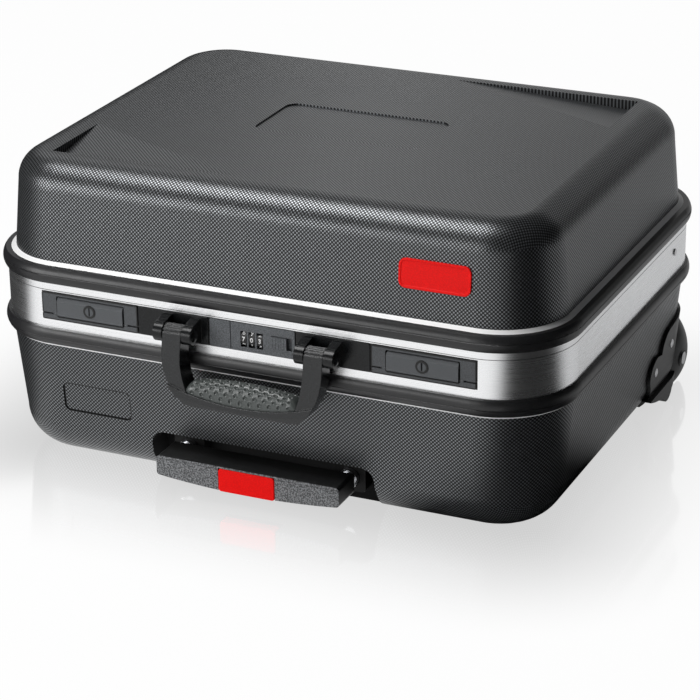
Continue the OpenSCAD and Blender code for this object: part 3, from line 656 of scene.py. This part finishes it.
class CASE_OT_handle(bpy.types.Operator):
    """Finishes the carry handle and makes its dimpled pad"""

    bl_idname = "case.handle"
    bl_label = "Carry handle"

    # Pad in millimetres: half length, radii of its crest and its floor along x, length
    # of its rounded ends, power of its section's curve, and way round the section
    half = 48.8
    crest_r = 250
    tray_r = 200
    end_length = 7
    power = 0.8
    round_way = 44
    # Dimples: radius, depth, rise and place of their rims, pitch along a row, pitch of
    # the rows, way to the first row, and the length of the ends without them
    dimple_r = 1.55
    dimple_depth = 1.0
    rim_rise = 0.22
    across = 8.5
    between = 3.7
    first_row = 2.6
    bare_end = 4.5

    def section(self, x, turn, low, high, width):
        """Point of the pad's section at x: turn runs from pi in front to 0 behind."""
        end = min(1.0, (self.half - abs(x)) / self.end_length)
        fade = 0.12 + 0.88 * math.sqrt(max(0.0, 1 - (1 - end) ** 2))
        floor = low + x * x / (2 * self.tray_r)
        crest = high - x * x / (2 * self.crest_r)
        c, s = math.cos(turn), math.sin(turn)
        y = math.copysign(abs(c) ** self.power, c) * width * (0.72 + 0.28 * fade)
        return Vector((x, y, floor + (crest - floor) * fade * abs(s) ** self.power))

    def dimple(self, x, way):
        """Depth of the dimples at x and at a way along the section from its front."""
        way -= self.first_row
        row = round(way / self.between)
        shift = (row % 2) * self.across / 2
        middle = shift + round((x - shift) / self.across) * self.across
        if abs(middle) > self.half - self.bare_end:
            return 0.0
        off = math.hypot(x - middle, way - row * self.between)
        rim = self.rim_rise * math.exp(-((off - self.dimple_r - 0.25) / 0.3) ** 2)
        return rim - self.dimple_depth * max(0.0, 1 - (off / self.dimple_r) ** 2)

    def pad(self, material):
        low, high = (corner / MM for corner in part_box("handle_pad"))
        rows, base = 110, 8
        bpy.ops.mesh.primitive_grid_add(
            x_subdivisions=230, y_subdivisions=rows + base, size=2)
        piece = bpy.context.object
        piece.name = "handle_pad_dimpled"
        middle, width = (low.y + high.y) / 2, (high.y - low.y) / 2 - 0.1
        for vert in piece.data.vertices:
            x = vert.co.x * self.half
            row = (vert.co.y + 1) / 2 * (rows + base)
            front = self.section(x, math.pi, low.z, high.z - 0.3, width)
            if row > rows:
                # The rows past the section run back along the floor
                behind = self.section(x, 0, low.z, high.z - 0.3, width)
                vert.co = (behind.lerp(front, (row - rows) / base) + Vector((0, middle, 0))) * MM
                continue
            turn = math.pi * (1 - row / rows)
            here = self.section(x, turn, low.z, high.z - 0.3, width)
            ahead = self.section(x, turn - 0.01, low.z, high.z - 0.3, width)
            along = (ahead - here).normalized()
            if 0.04 < turn < math.pi - 0.04:
                out = Vector((0, -along.z, along.y))
                here += out * self.dimple(x, row / rows * self.round_way)
            vert.co = (here + Vector((0, middle, 0))) * MM
        start(piece)
        bpy.ops.object.mode_set(mode="EDIT")
        bpy.ops.mesh.select_mode(type="EDGE")
        bpy.ops.mesh.select_all(action="SELECT")
        bpy.ops.mesh.remove_doubles(threshold=1e-6)
        bpy.ops.mesh.select_all(action="DESELECT")
        bpy.ops.mesh.select_non_manifold()
        bpy.ops.mesh.edge_face_add()
        bpy.ops.mesh.select_all(action="SELECT")
        bpy.ops.mesh.normals_make_consistent(inside=False)
        bpy.ops.object.mode_set(mode="OBJECT")
        finish_piece(piece, "carry_handle", material, "pad", "handle_pad")

    def execute(self, context):
        # Painted shade: the mounts take a darker copy of the handle's colour, for the shade they
        # lie in behind the handle
        shaded_satin = plain_moulding("handle_finish", tint(colours().handle, 0.6), 0.26, 0.00003, 1600,
                               0.5, sheen=0.3)
        dress(plain_moulding("handle_frame_finish", colours().handle, 0.24, 0.00003, 1600, 0.5,
                             1.2 * MM), "handle_frame")
        self.pad(plain_moulding("pad_finish", tint(colours().pad, 0.75), 0.28, 0.00002, 2000, 0.1))
        for side in ("left", "right"):
            node = f"{side}_handle_mount"
            piece = round_edges(copied(node, f"{node}_moulded"), 0.5 * MM, clamp=True)
            finish_piece(piece, "case", shaded_satin, "mount", node)
        return {"FINISHED"}


class CASE_OT_pull(bpy.types.Operator):
    """Finishes the pull handle"""

    bl_idname = "case.pull"
    bl_label = "Pull handle"

    def grip_finish(self, front):
        """Coarse light grain on the front, and painted shade on the other sides: smooth and black.
        """
        paint = Paint("grip_finish")
        x, y, z = paint.place()
        here = paint.point(x, y, z)
        coarse = paint.noise(here, 800, 3.0)
        specks = paint.step(coarse, 0.40, 0.62)
        # Painted shade: every side but the front is black
        face = y.calc("LESS_THAN", (front + 0.9) * MM)
        grained = paint.mixed(specks, tint(colours().grip, 0.5), tint(colours().grip, 2.2))
        return paint.surface(
            base_color=paint.mixed(face, (0.005, 0.005, 0.005), grained),
            roughness=face * 0.12 + 0.45, specular_ior_level=0.4,
            normal=paint.relief(coarse * face, 0.00025))

    def execute(self, context):
        grip = node_box("pull_grip")
        piece = round_edges(copied("pull_grip", "pull_grip_moulded"), 0.8 * MM, 2,
                            lambda x, y, z: y < grip[0].y + 0.2 and z < grip[1].z - 3
                            or z > grip[1].z - 0.2)
        finish_piece(piece, "pull_handle", self.grip_finish(grip[0].y), "grip", "pull_grip")
        piece = round_edges(copied("release_button", "release_button_moulded"), 0.8 * MM, 3,
                            clamp=True)
        finish_piece(piece, "button", plain_moulding(
            "button_finish", colours().red, 0.5, 0.0001, 900, 0.05, sheen=0.1),
            "button", "release_button")
        dress(metal("tube_finish", (0.72, 0.73, 0.75), 0.25), "outer_tubes", "middle_tubes",
              "inner_tubes")
        piece = round_edges(copied("tube_collars", "tube_collars_moulded"), 0.6 * MM, clamp=True)
        dark = plain_moulding("collar_finish", (0.006, 0.006, 0.006), 0.5, sheen=0.2)
        finish_piece(piece, "case", dark, "housing", "tube_collars")
        dress(dark, "tube_rear_bracket")
        return {"FINISHED"}


class CASE_OT_wheels(bpy.types.Operator):
    """Finishes the wheels, their housings, the rear feet and the hinges"""

    bl_idname = "case.wheels"
    bl_label = "Wheels and hinges"

    def execute(self, context):
        dress(plain_moulding("housing_finish", colours().housing, 0.42, 0.00005, 1500, 0.2,
                             0.8 * MM), "left_wheel_housing", "right_wheel_housing", "stand_feet")
        hub = plain_moulding("hub_finish", (0.06, 0.06, 0.062), 0.5)
        for side in ("left", "right"):
            node = f"{side}_wheel_hub"
            piece = round_edges(copied(node, f"{node}_moulded"), 0.6 * MM, clamp=True)
            finish_piece(piece, f"{side}_wheel", hub, "hub", node)
        dress(plain_moulding("tyre_finish", (0.02, 0.02, 0.02), 0.65),
              "left_wheel_tyre", "right_wheel_tyre")
        steel = metal("hinge_finish", (0.62, 0.62, 0.63), 0.34, 0.08)
        for node, body in (("base_hinge_leaves", "case"), ("lid_hinge_leaves", "lid")):
            piece = round_edges(copied(node, f"{node}_pressed"), 0.3 * MM, clamp=True)
            finish_piece(piece, body, steel, "hinge", node)
        return {"FINISHED"}


# ------------------------------------------------------------------ stage


class CASE_OT_stage(bpy.types.Operator):
    """Adds the pale floor, the lamps and the camera"""

    bl_idname = "case.stage"
    bl_label = "Stage"

    # Name, place, sides and power of each lamp, all of them aimed at the case's middle
    middle = (0, 0, 0.15)
    lamps = (("key_box", (-0.560, -0.500, 1.736), (0.8, 0.8), 20),
             ("low_left_box", (-1.100, -1.311, 0.514), (0.7, 0.5), 9),
             ("low_front_box", (-0.443, -1.653, 0.514), (0.7, 0.5), 4.5),
             ("back_box", (0, 1.712, 0.60), (1.8, 1.0), 3),
             ("back_left_box", (-0.886, 1.056, 1.227), (1.2, 1.0), 3.2))
    # Directions in which the floor is bright in reflections, from the front, and how bright
    glows = ((math.radians(-12), 1.15), (math.radians(132), 0.34))
    # Camera: place, azimuth, elevation and roll, and its lens
    eye = (0.8920, -1.9718, 0.9711)
    turns = (24.45, 22.90, -0.72)
    lens = 139.7

    def floor(self):
        bpy.ops.mesh.primitive_plane_add(size=24, location=(0, 0, -0.0005))
        floor = bpy.context.object
        floor.name = "floor"
        bpy.ops.object.transform_apply()
        paint = Paint("floor_finish")
        path = [paint.node("ShaderNodeLightPath", output=name)
                for name in ("Is Camera Ray", "Is Glossy Ray", "Is Transmission Ray")]
        x, y, z = paint.place()
        reach = (x * x + y * y) ** 0.5 + 1e-4
        # In reflections the floor is bright in front and behind on the right, as under
        # two soft boxes, and dark between them, as beside two black cards
        parts = [paint.step((x * math.sin(turn) - y * math.cos(turn)) / reach, 0.62, 0.84)
                 for turn, _ in self.glows]
        bright = parts[0].calc("MAXIMUM", parts[1])
        glow = parts[0] * self.glows[0][1] + parts[1] * self.glows[1][1]
        lit = paint.node("ShaderNodeBsdfDiffuse", values={"Color": (0.86, 0.87, 0.88, 1)})
        dark = paint.node("ShaderNodeBsdfDiffuse", values={"Color": (0.05, 0.05, 0.05, 1)})
        white = paint.node("ShaderNodeEmission", values={"Color": (1, 1, 1, 1), "Strength": 1.0})
        mirrored = path[1].calc("MAXIMUM", path[2])
        base = paint.node("ShaderNodeMixShader", values=[mirrored * (1 - bright), lit, dark])
        base = paint.node("ShaderNodeMixShader", values=[
            path[0] * 0.97 + mirrored * glow, base, white])
        # The polish shows near the case and fades with the distance from it
        away = [side.calc("MAXIMUM", 0.0) for side in (abs(x) - 0.2, abs(y) - 0.15)]
        far = (away[0] * away[0] + away[1] * away[1]) ** 0.5
        polish = paint.step(far, 0.0, 0.20, 0.36, 0.0)
        gloss = paint.node("ShaderNodeBsdfGlossy", values={
            "Color": (1, 1, 1, 1), "Roughness": 0.08})
        mixed = paint.node("ShaderNodeMixShader", values=[path[0] * polish, base, gloss])
        paint.node("ShaderNodeOutputMaterial", values=[mixed])
        floor.data.materials.append(paint.material)

    def lamp(self, name, place, size, power):
        light = bpy.data.lights.new(name, "AREA")
        light.shape = "RECTANGLE"
        light.size, light.size_y = size
        light.energy = power
        lamp = bpy.data.objects.new(name, light)
        bpy.context.scene.collection.objects.link(lamp)
        lamp.location = place
        aim = Vector(self.middle) - lamp.location
        lamp.rotation_euler = aim.to_track_quat("-Z", "Y").to_euler()

    def world(self):
        world = bpy.data.worlds.new("studio")
        bpy.context.scene.world = world
        world.use_nodes = True
        tree = world.node_tree
        tree.nodes.clear()
        path = tree.nodes.new("ShaderNodeLightPath")
        dim = tree.nodes.new("ShaderNodeBackground")
        dim.inputs[0].default_value = (0.95, 0.97, 1.0, 1)
        dim.inputs[1].default_value = 0.02
        white = tree.nodes.new("ShaderNodeBackground")
        white.inputs[0].default_value = (1, 1, 1, 1)
        white.inputs[1].default_value = 1.0
        mix = tree.nodes.new("ShaderNodeMixShader")
        out = tree.nodes.new("ShaderNodeOutputWorld")
        tree.links.new(path.outputs["Is Camera Ray"], mix.inputs[0])
        tree.links.new(dim.outputs[0], mix.inputs[1])
        tree.links.new(white.outputs[0], mix.inputs[2])
        tree.links.new(mix.outputs[0], out.inputs[0])

    def camera(self):
        azimuth, elevation, roll = (math.radians(turn) for turn in self.turns)
        right = Vector((math.cos(azimuth), math.sin(azimuth), 0))
        back = Vector((math.sin(azimuth) * math.cos(elevation),
                       -math.cos(azimuth) * math.cos(elevation), math.sin(elevation)))
        up = back.cross(right)
        side = right * math.cos(roll) + up * math.sin(roll)
        top = up * math.cos(roll) - right * math.sin(roll)
        lens = bpy.data.cameras.new("camera")
        lens.lens = self.lens
        lens.sensor_width = 36
        lens.clip_end = 50
        camera = bpy.data.objects.new("camera", lens)
        bpy.context.scene.collection.objects.link(camera)
        turned = Matrix((side, top, back)).transposed().to_4x4()
        camera.matrix_world = Matrix.Translation(self.eye) @ turned
        bpy.context.scene.camera = camera

    def execute(self, context):
        context.scene.view_settings.view_transform = "Standard"
        self.floor()
        for lamp in self.lamps:
            self.lamp(*lamp)
        self.world()
        self.camera()
        return {"FINISHED"}


# ------------------------------------------------------------------ add-on

STEPS = (CASE_OT_shells, CASE_OT_plain_plate, CASE_OT_frames, CASE_OT_plates,
         CASE_OT_number_lock, CASE_OT_handle, CASE_OT_pull, CASE_OT_wheels, CASE_OT_stage)


class CASE_PT_panel(bpy.types.Panel):
    """Lists the case's sizes, colours and steps"""

    bl_idname = "CASE_PT_panel"
    bl_label = "Tool Case"
    bl_space_type = "VIEW_3D"
    bl_region_type = "UI"
    bl_category = "Tool Case"

    def draw(self, context):
        for group in (context.scene.case_sizes, context.scene.case_colours):
            for name in group.__annotations__:
                self.layout.prop(group, name)
        for step in STEPS:
            self.layout.operator(step.bl_idname)


def register():
    for kind in (CaseSizes, CaseColours, *STEPS, CASE_PT_panel):
        bpy.utils.register_class(kind)
    bpy.types.Scene.case_sizes = bpy.props.PointerProperty(type=CaseSizes)
    bpy.types.Scene.case_colours = bpy.props.PointerProperty(type=CaseColours)


def unregister():
    del bpy.types.Scene.case_colours
    del bpy.types.Scene.case_sizes
    for kind in (CASE_PT_panel, *reversed(STEPS), CaseColours, CaseSizes):
        bpy.utils.unregister_class(kind)


def main():
    register()
    bpy.ops.object.select_all(action="DESELECT")
    for step in STEPS:
        group, name = step.bl_idname.split(".")
        getattr(getattr(bpy.ops, group), name)()


if __name__ == "__main__":
    main()
